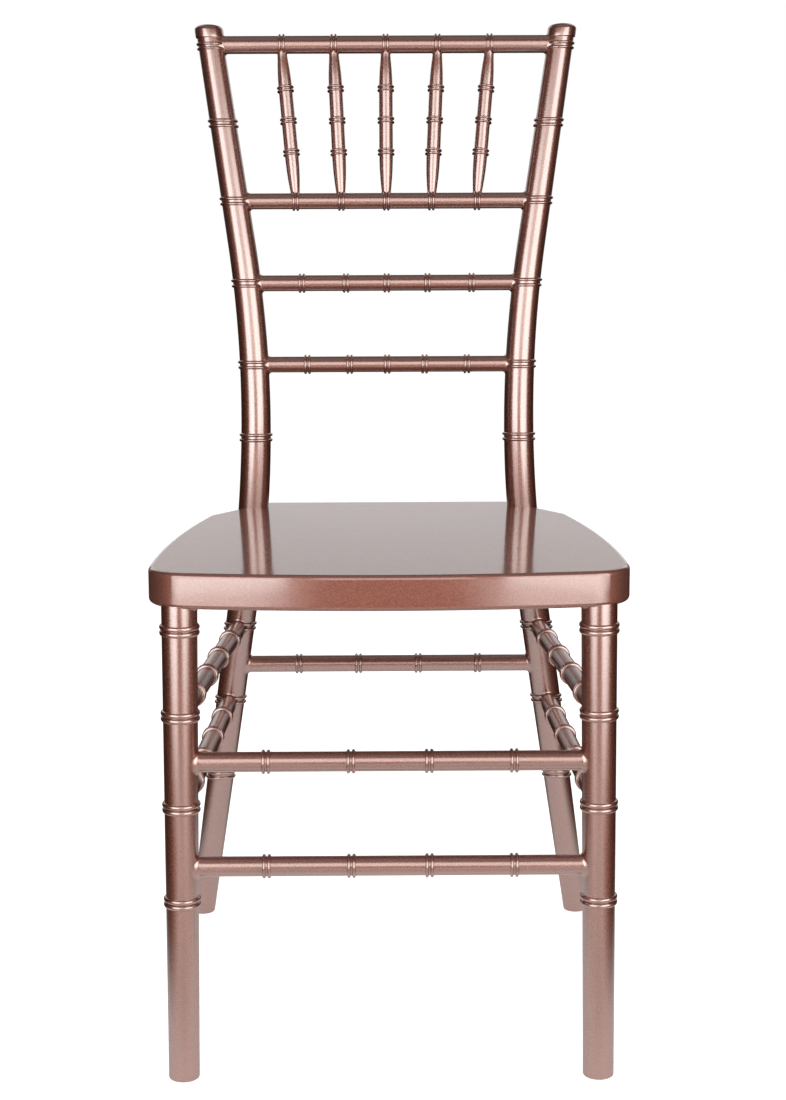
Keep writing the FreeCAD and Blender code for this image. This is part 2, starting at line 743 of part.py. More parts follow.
def screw_bore_length():
    # from the head's seat back to the rear pocket, whose corner lies beside the line
    axis, outward = screw_line(RIGHT)
    seat_of_head = axis - outward * screw_reach()
    corner = rear_pocket_corner()
    sideways = (seat_of_head.x - corner.x) / outward.x
    forward = (seat_of_head.y - corner.y) / outward.y
    return max(sideways, forward, 0) + SIZE["screw_bore_run_in"]


def seat_screw(side, name):
    axis, outward = screw_line(side)
    seat_of_head = axis - outward * screw_reach()
    shank = cylinder(name + "Shank", seat_of_head, axis, "Sizes.screw_radius",
                     SIZE["screw_wall"] + SIZE["screw_bite"])
    head = cylinder(name + "Head", seat_of_head, seat_of_head - outward, "Sizes.screw_head_radius",
                    SIZE["screw_head_height"])
    screw = doc.addObject("Part::Fuse", name)
    screw.Base = shank
    screw.Tool = head
    return screw


def seat_screws():
    left = seat_screw(LEFT, "LeftScrew")
    group = doc.addObject("Part::Compound", "seat_screws")
    group.Links = [left, mirrored("RightScrew", left)]
    group.Label = "seat_screws"
    return group


def screw_hole_in_post():
    axis, outward = screw_line(LEFT)
    bottom = axis + outward * (SIZE["screw_bite"] - SIZE["post_seat_radius"])
    return socket_tool("PostScrewHole", bottom, axis - outward * screw_reach(), "screw_radius")


def seat_tools(side, name):
    axis, outward = screw_line(side)
    seat_of_head = axis - outward * screw_reach()
    hole = cylinder(name + "ScrewHole", seat_of_head, axis,
                    "Sizes.screw_radius + Sizes.socket_clearance", screw_reach())
    bore = cylinder(name + "ScrewBore", seat_of_head, seat_of_head - outward,
                    "Sizes.screw_bore_radius", screw_bore_length())
    below = leg_axis(side, UNDERSIDE)
    top = moved(below, leg_axis(side, UNDERSIDE + 1), SIZE["leg_tenon_length"])
    mortise = socket_tool(name + "Mortise", top, below, "leg_tenon_radius")
    return [hole, bore, mortise]


def notch_tool():
    run_out = SIZE["post_seat_radius"]
    return bend_piece("SeatNotch", UNDERSIDE - run_out, SIZE["seat_top_height"] + run_out,
                      "Sizes.post_seat_radius + Sizes.socket_clearance")


def notched_seat():
    notch = notch_tool()
    tools = [notch, mirrored("RightNotch", notch)]
    tools += seat_tools(LEFT, "Left")
    tools += seat_tools(RIGHT, "Right")
    return cut_from("seat_board", seat_board(), tools)


# Assembly

top_rail = rail("top_rail", "top_rail_height", "top_rail_radius")
spindle_rail = rail("spindle_rail", "spindle_rail_height", "rail_radius")
middle_rail = rail("middle_back_rail", "middle_rail_height", "rail_radius")
low_rail = rail("lower_back_rail", "low_rail_height", "rail_radius")
rear_rod = rail("rear_stretcher", "rear_stretcher_height", "rear_stretcher_radius")
front_upper = front_stretcher("front_upper_stretcher", "front_upper_height")
front_lower = front_stretcher("front_lower_stretcher", "front_lower_height")
side_upper = side_stretcher("left_upper_side_stretcher", "band_three")
side_lower = side_stretcher("left_lower_side_stretcher", "band_two")
spindles = [Spindle(number) for number in range(1, SPINDLES + 1)]

parts = []
rail_blank = top_rail.banded("rail_ring_pitch", "spindle_share", RAIL_BANDS)
parts.append(cut_from("top_rail", rail_blank, [s.high_socket() for s in spindles]))
rail_blank = spindle_rail.banded("rail_ring_pitch", "spindle_share", RAIL_BANDS)
parts.append(cut_from("spindle_rail", rail_blank, [s.low_socket() for s in spindles]))
parts.append(middle_rail.banded("rail_ring_pitch", "spindle_share", RAIL_BANDS))
parts.append(low_rail.banded("rail_ring_pitch", "spindle_share", RAIL_BANDS))
parts.append(rear_rod.banded("rail_ring_pitch", "stretcher_share", STRETCHER_BANDS))
parts.append(front_upper.banded("stretcher_ring_pitch", "stretcher_share", STRETCHER_BANDS))
parts.append(front_lower.banded("stretcher_ring_pitch", "stretcher_share", STRETCHER_BANDS))
for side_rod in (side_upper, side_lower):
    left_rod = side_rod.banded("stretcher_ring_pitch", "stretcher_share", STRETCHER_BANDS)
    parts.append(left_rod)
    parts.append(mirrored(side_rod.label.replace("left", "right"), left_rod))
for spindle in spindles:
    parts.append(spindle.build())

left_leg = front_leg([front_upper, front_lower, side_upper, side_lower])
parts.append(left_leg)
parts.append(mirrored("right_front_leg", left_leg))

post_sockets = [rod.start_socket() for rod in (top_rail, spindle_rail, middle_rail, low_rail, rear_rod)]
post_sockets += [side_upper.end_socket(), side_lower.end_socket(), screw_hole_in_post()]
left_post = back_post(post_sockets)
parts.append(left_post)
parts.append(mirrored("right_back_post", left_post))

parts.append(notched_seat())
parts.append(seat_screws())
doc.recompute()

# Checks before anything is written

for item in doc.Objects:
    if "Invalid" in item.State or "Error" in item.State:
        raise RuntimeError("%s did not build: %s" % (item.Label, item.State))
for item in parts:
    if item.Shape.isNull() or not item.Shape.isValid() or item.Shape.Volume <= 0:
        raise RuntimeError(item.Label + " has no valid shape")

for item in parts:
    item.Shape.exportStep("parts/%s.step" % item.Label)
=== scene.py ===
import bpy
import bmesh
import math
from mathutils import Matrix, Vector

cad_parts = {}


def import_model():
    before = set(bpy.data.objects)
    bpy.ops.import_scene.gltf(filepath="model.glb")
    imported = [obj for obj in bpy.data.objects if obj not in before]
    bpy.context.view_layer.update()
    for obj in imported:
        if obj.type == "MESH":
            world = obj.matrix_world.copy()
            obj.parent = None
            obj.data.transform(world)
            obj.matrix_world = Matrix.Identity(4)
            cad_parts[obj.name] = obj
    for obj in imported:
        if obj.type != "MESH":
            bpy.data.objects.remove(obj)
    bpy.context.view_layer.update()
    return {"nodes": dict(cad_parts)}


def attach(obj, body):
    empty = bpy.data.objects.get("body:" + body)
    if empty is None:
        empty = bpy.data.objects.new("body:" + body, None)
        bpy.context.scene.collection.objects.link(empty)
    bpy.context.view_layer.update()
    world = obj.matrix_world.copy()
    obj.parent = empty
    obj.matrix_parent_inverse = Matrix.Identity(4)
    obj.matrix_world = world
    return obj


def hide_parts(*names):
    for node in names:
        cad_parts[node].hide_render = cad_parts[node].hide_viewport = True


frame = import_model()

# Sizes in millimetres and in the frame of the solids: X right, Y back, Z up

MM = 0.001
TURN_STEPS = 72
TURNS = [2 * math.pi * i / TURN_STEPS for i in range(TURN_STEPS)]
LEFT = -1
RIGHT = 1
RIGHTWARD = Vector((1, 0, 0))
BACKWARD = Vector((0, 1, 0))
UP = Vector((0, 0, 1))

SEAT_TOP = 449.1
SEAT_THICK = 30.5
UNDERSIDE = SEAT_TOP - SEAT_THICK
SEAT_EDGE = 4.0

FOOT_ROUND = 1.8
LEG_SETBACK = 206.4
LEG_FOOT = 180.3
LEG_TOP = 176.2
LEG_FOOT_R = 13.4
LEG_TOP_R = 15.2
LEG_FLARE = 4.2
LEG_FLARE_HEIGHT = 4.5
LEG_FLARE_SET = 0.1

CORNER_X = 116.3
CORNER_Y = 112.3
CORNER_Z = 545.9
PLAN = math.atan(1.37)
LOWER = 0.2539
UPPER = 0.2609
BEND = 644.7
BEND_RUN = BEND * math.tan((math.atan(LOWER) + math.atan(UPPER)) / 2)
BEND_LOW = CORNER_Z - BEND_RUN * math.cos(math.atan(LOWER))
BEND_HIGH = CORNER_Z + BEND_RUN * math.cos(math.atan(UPPER))
BEND_X = BEND_RUN * math.sin(math.atan(LOWER)) + BEND * math.cos(math.atan(LOWER))
BEND_Z = BEND_LOW + BEND * math.sin(math.atan(LOWER))
POST_RADII = [(0, 12.0), (244.2, 14.3), (385, 14.8), (480, 14.7), (555, 14.3), (630, 13.8),
              (706, 13.4), (906, 12.5)]
POST_END = 906.0
CAP_BASE = 903.6
CAP_HEIGHT = 13.7
CAP_RADIUS = 13.95
CAP_RIM = 1.3
CAP_CROWN = 5.6
CAP_FULLNESS = 0.87
RING_TIP = math.radians(3.5)
RING_WAY = Vector((0, math.sin(RING_TIP), math.cos(RING_TIP)))

BAND_ONE, BAND_TWO, BAND_THREE, BAND_FOUR = 160.4, 244.2, 324.3, 398.5
LOW_RAIL, MIDDLE_RAIL, SPINDLE_RAIL, TOP_RAIL = 590.0, 668.4, 747.0, 897.4
REAR_STRETCHER, FRONT_UPPER, FRONT_LOWER = 282.5, 283.2, 190.8
LEG_BANDS = [BAND_ONE, BAND_TWO, BAND_THREE, BAND_FOUR]
POST_BANDS = [BAND_ONE, BAND_TWO, BAND_THREE, 518.9, LOW_RAIL, MIDDLE_RAIL, SPINDLE_RAIL, 821.7]
TOP_BAND_HEIGHT = TOP_RAIL - 1.7

TOP_RAIL_R = 8.6
RAIL_R = 7.7
REAR_R = 8.3
FRONT_R = 8.6
SIDE_R = 8.7
SIDE_END_R = 7.4
FILLET = 3.0
POST_FILLET = 2.5
SPINDLE_FILLET = 1.2


def post_point(side, height):
    if height < BEND_LOW:
        reach = LOWER * (CORNER_Z - height)
    elif height > BEND_HIGH:
        reach = UPPER * (height - CORNER_Z)
    else:
        reach = BEND_X - math.sqrt(BEND ** 2 - (height - BEND_Z) ** 2)
    x = side * (CORNER_X + reach * math.cos(PLAN))
    return Vector((x, CORNER_Y + reach * math.sin(PLAN), height))


def post_way(side, height):
    return (post_point(side, height + 0.5) - post_point(side, height - 0.5)).normalized()


def leg_point(side, height):
    x = side * (LEG_FOOT + (LEG_TOP - LEG_FOOT) * height / UNDERSIDE)
    return Vector((x, -LEG_SETBACK, height))


def leg_way(side):
    return (leg_point(side, 1) - leg_point(side, 0)).normalized()


def leg_radius(height):
    return LEG_FOOT_R + (LEG_TOP_R - LEG_FOOT_R) * height / UNDERSIDE


def straight_between(table, x):
    for (x0, y0), (x1, y1) in zip(table, table[1:]):
        if x <= x1:
            return y0 + (y1 - y0) * max(0.0, (x - x0) / (x1 - x0))
    return table[-1][1]


def post_radius(height):
    return straight_between(POST_RADII, height)


def circle(way):
    # unit vectors all round, square to the way
    a = way.cross(BACKWARD if abs(way.y) < 0.8 else UP).normalized()
    b = way.cross(a).normalized()
    return [a * math.cos(t) + b * math.sin(t) for t in TURNS]


def quarter(steps):
    return [math.pi / 2 * k / steps for k in range(steps + 1)]


# Meshes from rows of points

def mesh_object(name, parts, sharp=60):
    verts, faces = [], []
    for points, part_faces in parts:
        base = len(verts)
        verts += [p * MM for p in points]
        faces += [[base + i for i in f] for f in part_faces]
    mesh = bpy.data.meshes.new(name)
    mesh.from_pydata(verts, [], faces)
    bm = bmesh.new()
    bm.from_mesh(mesh)
    bmesh.ops.recalc_face_normals(bm, faces=bm.faces)
    bm.to_mesh(mesh)
    bm.free()
    mesh.validate()
    mesh.shade_smooth()
    mesh.set_sharp_from_angle(angle=math.radians(sharp))
    obj = bpy.data.objects.new(name, mesh)
    bpy.context.scene.collection.objects.link(obj)
    return obj


def bridge(count, low, high):
    # faces between two closed rows that start at the points low and high
    faces = []
    for i in range(count):
        j = (i + 1) % count
        faces.append([low + i, low + j, high + j, high + i])
    return faces


def skin(rows, loop=False):
    # closed surface: the last row meets the first, or both get a lid
    count = len(rows[0])
    points = [p for row in rows for p in row]
    faces = []
    for r in range(len(rows) if loop else len(rows) - 1):
        faces += bridge(count, r * count, ((r + 1) % len(rows)) * count)
    if not loop:
        for row, flip in ((0, True), (len(rows) - 1, False)):
            points.append(sum(rows[row], Vector()) / count)
            hub = len(points) - 1
            for i in range(count):
                j = (i + 1) % count
                face = [row * count + i, row * count + j, hub]
                faces.append(face[::-1] if flip else face)
    return points, faces


class Band:
    # two half-round rings side by side: distance between them, width and height of each
    def __init__(self, pitch, width, rise):
        self.pitch, self.width, self.rise = pitch, width, rise
        self.half = (pitch + width) / 2

    def height(self, offset):
        inside = 2 * abs(abs(offset) - self.pitch / 2) / self.width
        return self.rise * math.sqrt(1 - inside ** 2) if inside < 1 else 0.0

    def offsets(self):
        turns = [math.pi / 2 * k / 7 for k in range(-7, 8)]
        ring = [self.pitch / 2 + self.width / 2 * math.sin(t) for t in turns]
        ring = [w for w in ring if w > 0.05]
        return [-w for w in reversed(ring)] + [0.0] + ring


POST_BAND = Band(5.2, 3.3, 1.9)
TOP_BAND = Band(4.6, 3.0, 1.9)
LEG_BAND = Band(4.9, 4.6, 1.9)
STRETCHER_BAND = Band(4.4, 2.9, 1.9)
REAR_BAND = Band(4.2, 2.8, 1.8)
RAIL_BAND = Band(3.8, 2.7, 1.75)
SPINDLE_BAND = Band(3.7, 2.5, 1.65)


def clear_of(heights, places, band):
    # the heights that lie outside all the bands
    return [h for h in heights if min(abs(h - place) for place in places) > band.half + 1]


# Rods between two round hosts, with a small fillet at each

class Host:
    def __init__(self, way, radius):
        self.way, self.radius = way, radius

    def reach(self, out, way):
        # from the host's axis to its surface, along a line beside the rod's axis
        side = out - self.way * out.dot(self.way)
        run = way - self.way * way.dot(self.way)
        mid = side.dot(run)
        rest = mid * mid - run.length_squared * (side.length_squared - self.radius ** 2)
        return (math.sqrt(max(0.0, rest)) - mid) / run.length_squared


def post_host(side, height):
    return Host(post_way(side, height), post_radius(height))


def leg_host(side, height):
    return Host(leg_way(side), leg_radius(height))


def end_rows(point, way, host, radius, fillet, outs):
    # from inside the host, out over the fillet, to the plain rod
    sunk, touch = 1.6, 0.05

    def row(reach, lift, drop):
        return [point + o * reach + way * (host.reach(o * reach, way) + lift - drop) for o in outs]

    rows = [row(radius + fillet, 0.0, sunk)]
    for turn in reversed(quarter(8)):
        out, lift = fillet * (1 - math.cos(turn)), fillet * (1 - math.sin(turn))
        rows.append(row(radius + out, lift, touch))
    return rows


def banded_rod(start, end, hosts, table, band, places, fillets):
    # table: radius by the distance from the start; places: distances of the bands
    room, pieces = 0.6, 32
    way = (end - start).normalized()
    length = (end - start).length
    low = hosts[0].radius + fillets[0] + room
    high = length - hosts[1].radius - fillets[1] - room
    stations = [low, high]
    for place in places:
        stations += [place + w for w in band.offsets()]
    stations += clear_of([low + (high - low) * k / pieces for k in range(1, pieces)], places, band)
    outs = circle(way)
    rows = end_rows(start, way, hosts[0], straight_between(table, low), fillets[0], outs)
    for s in sorted(stations):
        radius = straight_between(table, s) + max(band.height(s - place) for place in places)
        rows.append([start + way * s + o * radius for o in outs])
    tail = end_rows(end, -way, hosts[1], straight_between(table, high), fillets[1], outs)
    return skin(rows + tail[::-1])


def shared(length, shares):
    # the same places to both sides of the middle, as shares of the length
    return sorted({length * (0.5 + side * share) for side in (LEFT, RIGHT) for share in shares})


# Back posts

def level_row(side, height, shrink, outs):
    axis, way = post_point(side, height), post_way(side, height)
    row = []
    for o in outs:
        flat = (o - way * o.dot(way)).normalized()
        p = axis + flat * (post_radius(height) - shrink)
        row.append(p + way * ((height - p.z) / way.z))
    return row


def post_rows(side):
    bow = Vector((math.cos(PLAN) * side, math.sin(PLAN), 0))
    normal = bow.cross(UP).normalized()
    rows = []

    def outs(height):
        front = normal.cross(post_way(side, height)).normalized()
        return [front * math.cos(t) + normal * math.sin(t) for t in TURNS]

    for turn in quarter(6):
        height = FOOT_ROUND * (1 - math.cos(turn))
        rows.append(level_row(side, height, FOOT_ROUND * (1 - math.sin(turn)), outs(height)))
    heights = [8 + 16 * i for i in range(24)]
    heights += [BEND_LOW + (BEND_HIGH - BEND_LOW) * i / 64 for i in range(65)]
    heights += [BEND_HIGH + (POST_END - BEND_HIGH) * i / 14 for i in range(1, 15)]
    for height in sorted(heights):
        axis = post_point(side, height)
        rows.append([axis + o * post_radius(height) for o in outs(height)])
    return rows


def post_ring(side, height, band):
    # a tipped pair of rings round the leaning post, with its root inside the post
    sunk, root = 0.15, -2.0
    axis, way, radius = post_point(side, height), post_way(side, height), post_radius(height)
    outs = circle(RING_WAY)
    places = [(w, band.height(w) - sunk) for w in band.offsets()]
    rows = []
    for w, rise in [(-band.half, root)] + places + [(band.half, root)]:
        middle = axis + way * (w / way.dot(RING_WAY))
        rows.append([middle + o * (radius / (o - way * o.dot(way)).length + rise) for o in outs])
    return skin(rows, loop=True)


def post_cap(side):
    # tipped rims on a leaning post: the rows keep to the post's axis
    lean = post_way(side, CAP_BASE)
    lean = lean / lean.dot(RING_WAY)
    base = post_point(side, CAP_BASE)
    profile = [(CAP_RADIUS - CAP_RIM - 0.6, -0.4)]
    for turn in quarter(5):
        profile.append((CAP_RADIUS - CAP_RIM * (1 - math.sin(turn)),
                        CAP_RIM * (1 - math.cos(turn))))
    profile.append((CAP_RADIUS, (CAP_HEIGHT - CAP_CROWN) / 2))
    for turn in quarter(16)[:-1]:
        profile.append((CAP_RADIUS * math.cos(turn) ** CAP_FULLNESS,
                        CAP_HEIGHT - CAP_CROWN + CAP_CROWN * math.sin(turn) ** CAP_FULLNESS))
    outs = circle(RING_WAY)
    return skin([[base + lean * h + o * r for o in outs] for r, h in profile])


# Front legs

def front_leg(side):
    outs = circle(leg_way(side))
    rows = []
    for turn in quarter(6):
        middle = leg_point(side, FOOT_ROUND * (1 - math.cos(turn)))
        radius = LEG_FOOT_R - FOOT_ROUND * (1 - math.sin(turn))
        rows.append([middle + Vector((o.x, o.y, 0)) * radius for o in outs])
    heights = clear_of([10 + 20 * i for i in range(20)], LEG_BANDS, LEG_BAND)
    for band in LEG_BANDS:
        heights += [band + w for w in LEG_BAND.offsets()]
    for height in sorted(heights):
        radius = leg_radius(height) + max(LEG_BAND.height(height - band) for band in LEG_BANDS)
        rows.append([leg_point(side, height) + o * radius for o in outs])
    # the top flares towards the middle of the chair
    inward = Vector((-side, 0.45, 0)).normalized()
    for turn in quarter(8):
        height = UNDERSIDE - LEG_FLARE_HEIGHT * (1 - math.sin(turn)) + LEG_FLARE_SET
        row = []
        for o in outs:
            lean = max(0.0, o.dot(inward) - 0.1) / 0.9
            flare = LEG_FLARE * lean * lean * (3 - 2 * lean)
            row.append(leg_point(side, height) + o * (LEG_TOP_R + flare * (1 - math.cos(turn))))
        rows.append(row)
    rows.append([p + UP * 2.0 for p in rows[-1]])
    return skin(rows)


# Seat board

STRAIGHT = 0.02
# corner x and y, its radius, and how far the side after it bows out
SEAT_CORNERS = [(-203.6, -217.6, 40.0, 19.0), (203.6, -217.6, 40.0, 9.2),
                (172.0, 84.0, 8.0, STRAIGHT), (119.0, 163.8, 5.0, STRAIGHT),
                (-119.0, 163.8, 5.0, STRAIGHT), (-172.0, 84.0, 8.0, 9.2)]
# two kinds of pockets: first x and y, steps in x and y, width and depth, columns and rows
POCKETS = [(-133, -188, 68, 80, 62, 74, 4, 3), (-88, 52, 91, 0, 85, 74, 2, 1)]
POCKET_CORNER = 3.0
SEAT_SKIN = 6.0
NOTCH_R = 14.9


def seat_arc(start, end, bow):
    chord = end - start
    outward = Vector((chord.y, -chord.x, 0)).normalized()
    radius = (chord.length ** 2 / 4 + bow ** 2) / (2 * bow)
    return (start + end) / 2 + outward * (bow - radius), radius


def inner_centre(first, second, radius, near):
    # centre of the round that touches both arcs from inside
    c0, r0 = first[0], first[1] - radius
    c1, r1 = second[0], second[1] - radius
    d = (c1 - c0).length
    a = (r0 * r0 - r1 * r1 + d * d) / (2 * d)
    h = math.sqrt(max(0.0, r0 * r0 - a * a))
    along = (c1 - c0) / d
    over = Vector((-along.y, along.x, 0))
    spots = [c0 + along * a + over * h, c0 + along * a - over * h]
    return min(spots, key=lambda s: (s - near).length)


def arc_points(centre, radius, start, end, count):
    a0 = math.atan2(start.y - centre.y, start.x - centre.x)
    a1 = math.atan2(end.y - centre.y, end.x - centre.x)
    while a1 < a0:
        a1 += 2 * math.pi
    found = []
    for i in range(count):
        t = a0 + (a1 - a0) * i / count
        out = Vector((math.cos(t), math.sin(t), 0))
        found.append((centre + out * radius, out))
    return found


def seat_outline():
    # points with their outward directions
    spots = [Vector((x, y, 0)) for x, y, _, _ in SEAT_CORNERS]
    number = len(spots)
    arcs = [seat_arc(spots[i], spots[(i + 1) % number], SEAT_CORNERS[i][3]) for i in range(number)]
    rounds = []
    for i, (_, _, radius, _) in enumerate(SEAT_CORNERS):
        centre = inner_centre(arcs[i - 1], arcs[i], radius, spots[i])
        entry, leave = [c + (centre - c).normalized() * r for c, r in (arcs[i - 1], arcs[i])]
        rounds.append((centre, radius, entry, leave))
    points = []
    for i, (centre, radius, entry, leave) in enumerate(rounds):
        points += arc_points(centre, radius, entry, leave, 20)
        count = 8 if SEAT_CORNERS[i][3] == STRAIGHT else 40
        points += arc_points(*arcs[i], leave, rounds[(i + 1) % number][2], count)
    return points


def seat_board():
    outline = seat_outline()
    count = len(outline)
    section = [(SEAT_EDGE * (1 - math.sin(t)), SEAT_EDGE * (1 - math.cos(t))) for t in quarter(8)]
    section += [(SEAT_EDGE * (1 - math.cos(t)), SEAT_THICK - SEAT_EDGE * (1 - math.sin(t)))
                for t in quarter(8)]
    points, faces = [], []
    for inset, height in section:
        points += [p - out * inset + UP * (UNDERSIDE + height) for p, out in outline]
    top = (len(section) - 1) * count
    for low in range(0, top, count):
        faces += bridge(count, low, low + count)
    faces.append(list(range(count))[::-1])
    faces.append([top + i for i in range(count)])
    board = mesh_object("seat_board_moulded", [(points, faces)], 40)
    cut(board, pocket_tools())
    cut(board, notch_tools())
    board.data.shade_smooth()
    board.data.set_sharp_from_angle(angle=math.radians(35))
    weigh = board.modifiers.new("weigh", "WEIGHTED_NORMAL")
    weigh.keep_sharp = True
    weigh.weight = 100
    return board


def box_part(x0, x1, y0, y1, z0, z1):
    spots = []
    left, right = x0 + POCKET_CORNER, x1 - POCKET_CORNER
    front, back = y0 + POCKET_CORNER, y1 - POCKET_CORNER
    corners = ((right, back, 0), (left, back, 90), (left, front, 180), (right, front, 270))
    for x, y, start in corners:
        for k in range(5):
            t = math.radians(start + 90 * k / 4)
            spots.append(Vector((x + POCKET_CORNER * math.cos(t),
                                 y + POCKET_CORNER * math.sin(t), 0)))
    return skin([[p + UP * z0 for p in spots], [p + UP * z1 for p in spots]])


def pocket_tools():
    low, high = UNDERSIDE - 5, SEAT_TOP - SEAT_SKIN
    parts = []
    for first_x, first_y, step_x, step_y, wide, deep, columns, rows in POCKETS:
        for row in range(rows):
            for column in range(columns):
                x, y = first_x + column * step_x, first_y + row * step_y
                parts.append(box_part(x, x + wide, y, y + deep, low, high))
    return mesh_object("pocket_tools", parts)


def notch_tools():
    parts = []
    for side in (LEFT, RIGHT):
        low, high = post_point(side, UNDERSIDE - 12), post_point(side, SEAT_TOP + 12)
        outs = circle((high - low).normalized())
        parts.append(skin([[end + o * NOTCH_R for o in outs] for end in (low, high)]))
    return mesh_object("notch_tools", parts)


def cut(obj, tool):
    step = obj.modifiers.new("cut", "BOOLEAN")
    step.operation = "DIFFERENCE"
    step.solver = "EXACT"
    step.object = tool
    bpy.context.view_layer.update()
    depsgraph = bpy.context.evaluated_depsgraph_get()
    done = bpy.data.meshes.new_from_object(obj.evaluated_get(depsgraph))
    obj.modifiers.remove(step)
    obj.data = done
    bpy.data.objects.remove(tool)


# Materials

class Graph:
    # short forms for a tree of nodes; a value is a number, a colour or the output of a node
    def __init__(self, owner):
        owner.use_nodes = True
        self.tree = owner.node_tree
        self.tree.nodes.clear()
        self.new = self.tree.nodes.new

    def plug(self, value, socket):
        if isinstance(value, (int, float)):
            socket.default_value = value
        elif isinstance(value, tuple):
            socket.default_value = (*value, 1)
        else:
            self.tree.links.new(value, socket)

    def maths(self, kind, a, b=0.0):
        node = self.new("ShaderNodeMath")
        node.operation = kind
        self.plug(a, node.inputs[0])
        self.plug(b, node.inputs[1])
        return node.outputs[0]

    def product(self, *values):
        total = values[0]
        for value in values[1:]:
            total = self.maths("MULTIPLY", total, value)
        return total

    def most(self, *values):
        total = values[0]
        for value in values[1:]:
            total = self.maths("MAXIMUM", total, value)
        return total

    def ramp(self, value, low, high):
        # 0 at low and 1 at high, eased
        node = self.new("ShaderNodeMapRange")
        node.interpolation_type = "SMOOTHSTEP"
        node.inputs["From Min"].default_value = low
        node.inputs["From Max"].default_value = high
        self.plug(value, node.inputs["Value"])
        return node.outputs["Result"]

    def spread(self, value, low, high):
        # from 0 to 1, onto low to high
        node = self.new("ShaderNodeMapRange")
        node.inputs["To Min"].default_value = low
        node.inputs["To Max"].default_value = high
        self.plug(value, node.inputs["Value"])
        return node.outputs["Result"]

    def blend(self, share, first, second, kind="MIX"):
        node = self.new("ShaderNodeMix")
        node.data_type = "RGBA"
        node.blend_type = kind
        self.plug(share, node.inputs["Factor"])
        self.plug(first, node.inputs[6])
        self.plug(second, node.inputs[7])
        return node.outputs[2]

    def where(self):
        return self.new("ShaderNodeTexCoord").outputs["Object"]

    def noise(self, where, scale, detail=2.0):
        node = self.new("ShaderNodeTexNoise")
        node.inputs["Scale"].default_value = scale
        node.inputs["Detail"].default_value = detail
        self.plug(where, node.inputs["Vector"])
        return node.outputs["Fac"]

    def bump(self, height, strength, distance):
        node = self.new("ShaderNodeBump")
        node.inputs["Strength"].default_value = strength
        node.inputs["Distance"].default_value = distance
        self.plug(height, node.inputs["Height"])
        return node.outputs["Normal"]

    def surface(self, value, kind):
        self.plug(value, self.new("ShaderNodeOutput" + kind).inputs["Surface"])

    def shader(self, sockets):
        # a Principled surface with these values on its sockets
        node = self.new("ShaderNodeBsdfPrincipled")
        for name, value in sockets.items():
            self.plug(value, node.inputs[name])
        self.surface(node.outputs["BSDF"], "Material")

    def rays(self):
        # rays from the camera, and rays off gloss or through glass
        path = self.new("ShaderNodeLightPath")
        shiny = self.most(path.outputs["Is Glossy Ray"], path.outputs["Is Transmission Ray"])
        return path.outputs["Is Camera Ray"], shiny


def lacquer(name, deep, pale, metal, roughness, coat_ior, coat_roughness, flakes, sparkle):
    # metallic lacquer: clouds of colour and fine flake under a clear coat with a slight ripple
    material = bpy.data.materials.new(name)
    graph = Graph(material)
    where = graph.where()
    tint = graph.blend(graph.noise(where, 9.0, 3.0), deep, pale)
    flake = graph.new("ShaderNodeTexVoronoi")
    flake.inputs["Scale"].default_value = flakes
    graph.plug(where, flake.inputs["Vector"])
    glint = graph.new("ShaderNodeSeparateColor")
    graph.plug(flake.outputs["Color"], glint.inputs["Color"])
    shine = graph.spread(glint.outputs["Red"], 1 - sparkle, 1 + sparkle)
    graph.shader({
        "Base Color": graph.blend(1.0, tint, shine, "MULTIPLY"),
        "Roughness": graph.spread(glint.outputs["Green"], roughness - 0.05, roughness + 0.06),
        "Normal": graph.bump(glint.outputs["Blue"], 0.07, 0.00015),
        "Coat Normal": graph.bump(graph.noise(where, 45.0), 0.05, 0.0004),
        "Metallic": metal,
        "Coat Weight": 1.0,
        "Coat Roughness": coat_roughness,
        "Coat IOR": coat_ior})
    return material


def zinc():
    material = bpy.data.materials.new("zinc_plate")
    graph = Graph(material)
    cloud = graph.noise(graph.where(), 300.0)
    graph.shader({
        "Base Color": graph.blend(cloud, (0.45, 0.45, 0.44), (0.66, 0.66, 0.64)),
        "Normal": graph.bump(cloud, 0.2, 0.0002),
        "Metallic": 1.0,
        "Roughness": 0.4})
    return material


frame_finish = lacquer(
    "frame_lacquer", deep=(0.32, 0.084, 0.040), pale=(0.37, 0.104, 0.056), metal=1.0,
    roughness=0.50, coat_ior=3.6, coat_roughness=0.24, flakes=2400.0, sparkle=0.13)
seat_finish = lacquer(
    "seat_lacquer", deep=(0.30, 0.114, 0.082), pale=(0.35, 0.139, 0.102), metal=0.86,
    roughness=0.58, coat_ior=2.2, coat_roughness=0.095, flakes=1400.0, sparkle=0.22)
screw_finish = zinc()


# Putting the pieces together

def dress(obj, node, finish=frame_finish):
    obj.data.materials.clear()
    obj.data.materials.append(finish)
    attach(obj, "root")
    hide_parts(node)


def turned(node, parts):
    dress(mesh_object(node + "_turned", parts), node)


def make_post(node, side):
    parts = [skin(post_rows(side))]
    parts += [post_ring(side, height, POST_BAND) for height in POST_BANDS]
    parts.append(post_ring(side, TOP_BAND_HEIGHT, TOP_BAND))
    parts.append(post_cap(side))
    turned(node, parts)


def make_even_rod(node, point, host, height, radius, band, shares):
    # an evenly thick rod from left to right, at one height
    start, end = point(LEFT, height), point(RIGHT, height)
    length = (end - start).length
    table = [(0, radius), (length, radius)]
    hosts = host(LEFT, height), host(RIGHT, height)
    places = shared(length, shares)
    turned(node, [banded_rod(start, end, hosts, table, band, places, (FILLET, FILLET))])


def make_rail(node, height, radius, shares, band=RAIL_BAND):
    make_even_rod(node, post_point, post_host, height, radius, band, shares)


